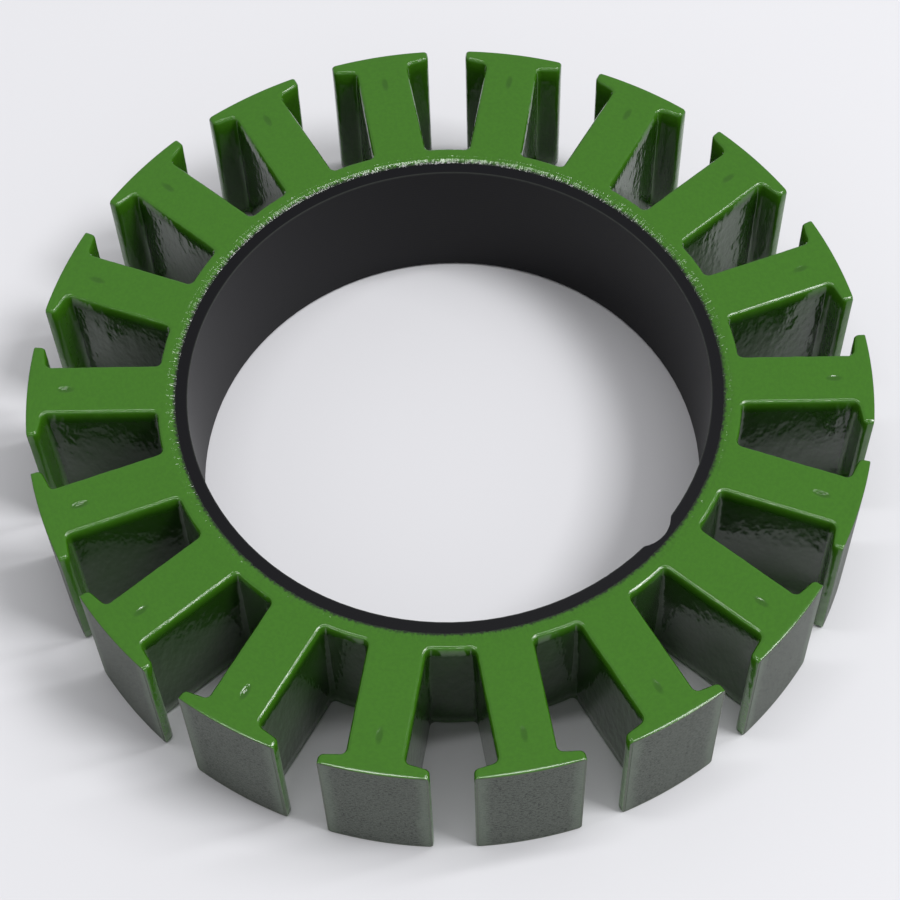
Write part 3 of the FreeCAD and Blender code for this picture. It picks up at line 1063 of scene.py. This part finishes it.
    def shape_surface(self, mesh: bmesh.types.BMesh) -> None:
        """Give the outer side its lumps, dimples and ragged rim.

        Args:
            mesh: The closed coat.
        """
        mark = mesh.verts.layers.int[OUTER]
        outer = [v for v in mesh.verts if v[mark]]
        normals = []
        for vert in outer:
            faces = [f for f in vert.link_faces if all(v[mark] for v in f.verts)]
            normals.append(sum((f.normal * f.calc_area() for f in faces), Vector()).normalized())
        for vert, normal in zip(outer, normals):
            self.shape_vertex(vert, normal)

    def shape_vertex(self, vert: bmesh.types.BMVert, normal: Vector) -> None:
        """Move one vertex of the outer side.

        Args:
            vert: The vertex.
            normal: The smooth surface's normal there.
        """
        place = vert.co.copy()
        radius = place.xy.length
        # 1 halfway round a rounded edge, and 0 on the end faces, the walls and the ring.
        on_edge = 1 - abs(2 * abs(normal.z) - 1) if radius > self.ring_radius else 0
        lump = 0.5 + 0.5 * noise.noise(place * self.lump_scale)
        ripple = 0.5 + 0.5 * noise.noise(place * self.ripple_scale + RIPPLE_SHIFT)
        at_edge = on_edge * (self.edge_lump * lump + self.edge_ripple * ripple)
        sink = self.face_lump * lump + self.face_ripple * ripple + at_edge
        if self.near(vert, self.pole_radius, POLE_REACH):
            down = self.pole_sink * sink * abs(normal.z)
            vert.co.z -= math.copysign(down, place.z - self.height / 2)
            return
        side = 1 if place.z > self.height / 2 else -1
        if radius < self.slope_radius + WELD:
            self.shape_rim(vert, radius, side)
            return
        vert.co -= normal * sink
        if abs(normal.z) > self.end_face_normal:
            vert.co.z -= side * self.dimple(place)

    def shape_rim(self, vert: bmesh.types.BMVert, radius: float, side: int) -> None:
        """Slope the coat down to the bare rim, with radial ridges and a ragged edge.

        Args:
            vert: A vertex of the ring around the bore.
            radius: Its distance from the axis.
            side: 1 at the top and -1 at the bottom.
        """
        angle = math.atan2(vert.co.y, vert.co.x)
        around = Vector((math.cos(angle), math.sin(angle), self.rim_tilt * side)) * self.rim_radius
        down = (self.slope_radius - radius) / (self.slope_radius - self.rim_radius)
        fine = noise.noise(around * self.fine_ridge_scale + RIDGE_SHIFT)
        ridge = noise.noise(around * self.ridge_scale) + self.fine_ridge_share * fine
        swell = self.ridge_height * (1 + ridge) * math.sin(math.pi * down)
        drop = (self.thickness - self.rim_lip) * down + swell
        wave = self.wave_width * noise.noise(around * self.wave_scale)
        ragged = wave + self.nick_width * noise.noise(around * self.nick_scale)
        self.set_radius(vert, radius + ragged * down)
        vert.co.z -= side * (drop + self.rim_sink)

    def dimple(self, place: Vector) -> float:
        """Work out how deep the dimple over an interlock is at a point of an end face.

        Args:
            place: The point.

        Returns:
            The depth there, which is 0 outside the dimple.
        """
        pitch = math.tau / self.teeth
        angle = math.atan2(place.y, place.x)
        tooth = round(angle / pitch)
        angle -= pitch * tooth
        radius = place.xy.length
        along = (radius * math.cos(angle) - self.dimple_radius) / (self.dimple_length / 2)
        across = radius * math.sin(angle) / (self.dimple_width / 2)
        reach = along**2 + across**2
        depth = self.dimple_depth * (1.0 if tooth in self.deep_dimples else self.shallow_share)
        return depth * (1 - reach) ** self.dimple_power if reach < 1 else 0.0

    def finish(self, mesh: bmesh.types.BMesh) -> bpy.types.Object:
        """Bevel the edges around the pole faces and turn the mesh into a piece in metres.

        Args:
            mesh: The closed coat, in millimetres.

        Returns:
            The piece.
        """
        mark = mesh.verts.layers.int[OUTER]
        ground = [
            e
            for e in mesh.edges
            if all(v[mark] and self.near(v, self.pole_radius, POLE_REACH) for v in e.verts)
            and e.calc_face_angle() > math.radians(self.ground_angle)
        ]
        self.round_off(mesh, ground, self.ground_edge, self.ground_steps, "EDGES")
        bmesh.ops.scale(mesh, verts=mesh.verts, vec=(MM, MM, MM))
        return make_piece("powder_coat", mesh, self.sharp)


def make_piece(name: str, mesh: bmesh.types.BMesh, sharp: float = 30.0) -> bpy.types.Object:
    """Turn a finished mesh into an object at the origin, shaded smooth.

    Args:
        name: The piece's name.
        mesh: The mesh, in metres, which is freed.
        sharp: The angle in degrees past which an edge is shaded sharp.

    Returns:
        The object.
    """
    data = bpy.data.meshes.new(name)
    mesh.to_mesh(data)
    mesh.free()
    data.shade_smooth()
    data.set_sharp_from_angle(angle=math.radians(sharp))
    piece = bpy.data.objects.new(name, data)
    bpy.context.scene.collection.objects.link(piece)
    return piece


# ----------------------------------------
# Stage
# ----------------------------------------


@dataclass(frozen=True)
class Softbox:
    """A rectangular lamp, in metres and watts.

    It faces the origin.  With a turn it faces straight down instead, with its long side at that
    angle in degrees from +X.
    """

    name: str
    place: Triple
    size: Span
    power: float
    turn: float | None = None

    def hang(self) -> None:
        """Add the lamp to the scene."""
        data = bpy.data.lights.new(self.name, "AREA")
        data.shape = "RECTANGLE"
        data.size, data.size_y = self.size
        data.energy = self.power
        lamp = bpy.data.objects.new(self.name, data)
        middle = Vector(self.place)
        if self.turn is None:
            facing = middle.to_track_quat("Z", "Y").to_matrix().to_4x4()
        else:
            facing = Matrix.Rotation(math.radians(self.turn), 4, "Z")
        lamp.matrix_world = Matrix.Translation(middle) @ facing
        bpy.context.scene.collection.objects.link(lamp)


@dataclass
class Stage:
    """The floor, the lamps and the camera, in metres."""

    floor_size: float = 4.0
    floor_grey: Colour = (208, 208, 212)
    floor_roughness: float = 0.8
    lamps: tuple[Softbox, ...] = (
        Softbox("key", place=(0.71, 0.36, 1.38), size=(0.45, 0.45), power=15.0),
        Softbox("strip", place=(0.12, 0.24, 1.0), size=(1.2, 0.06), power=5.0, turn=51),
    )
    sky_strength: float = 0.46
    lens: float = 96.38
    sensor: float = 36.0
    nearest: float = 0.01
    eye: Triple = (0.0979, -0.1108, 0.2642)
    turns: tuple[tuple[float, str], ...] = (
        (39.927, "Z"),
        (29.682, "X"),
        (0.794, "Y"),
        (-0.788, "Z"),
    )

    def build(self) -> None:
        """Build the whole stage."""
        self.build_floor()
        for lamp in self.lamps:
            lamp.hang()
        self.build_sky()
        self.build_camera()

    def build_floor(self) -> None:
        """Lay the pale floor at the underside of the coat."""
        mesh = bmesh.new()
        bmesh.ops.create_grid(mesh, x_segments=1, y_segments=1, size=self.floor_size / 2)
        floor = make_piece("floor", mesh)
        material, n = new_material("pale_floor")
        shader = n.add("BsdfPrincipled")
        shader.inputs["Base Color"].default_value = linear(*self.floor_grey)
        shader.inputs["Roughness"].default_value = self.floor_roughness
        n.join(shader.outputs[0], n.add("OutputMaterial").inputs[0])
        floor.data.materials.append(material)

    def build_sky(self) -> None:
        """Light the scene evenly from all around."""
        world = bpy.data.worlds.new("plain_sky")
        world.use_nodes = True
        n = Nodes(world.node_tree)
        sky = n.add("Background")
        sky.inputs["Color"].default_value = (1.0, 1.0, 1.0, 1.0)
        sky.inputs["Strength"].default_value = self.sky_strength
        n.join(sky.outputs[0], n.add("OutputWorld").inputs[0])
        bpy.context.scene.world = world

    def build_camera(self) -> None:
        """Set the camera."""
        data = bpy.data.cameras.new("camera")
        data.lens = self.lens
        data.sensor_width = self.sensor
        data.clip_start = self.nearest
        camera = bpy.data.objects.new("camera", data)
        place = Matrix.Translation(self.eye)
        for degrees, axis in self.turns:
            place = place @ Matrix.Rotation(math.radians(degrees), 4, axis)
        camera.matrix_world = place
        bpy.context.scene.collection.objects.link(camera)
        bpy.context.scene.camera = camera


# ----------------------------------------
# The whole object
# ----------------------------------------


def dress_sheets(material: bpy.types.Material) -> None:
    """Give every steel sheet its finish.

    Args:
        material: The electrical steel.
    """
    for name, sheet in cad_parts.items():
        if name.startswith("lamination"):
            for slot in sheet.material_slots:
                slot.link = "OBJECT"
                slot.material = material
            log.info("%s: finish %s", name, material.name)


def main() -> None:
    """Build the stage, the coat and the finishes."""
    logging.basicConfig(level=logging.INFO, format="%(name)s: %(message)s")
    bpy.context.scene.view_settings.view_transform = "Standard"
    effects = Effects()
    Stage().build()
    dress_sheets(SheetFinish().build(effects))
    coat = PowderCoat().build()
    coat.data.materials.append(PowderFinish().build(effects))
    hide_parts("insulation_coating")
    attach(coat, "root")
    log.info("%s: %d faces", coat.name, len(coat.data.polygons))


if __name__ == "__main__":
    main()
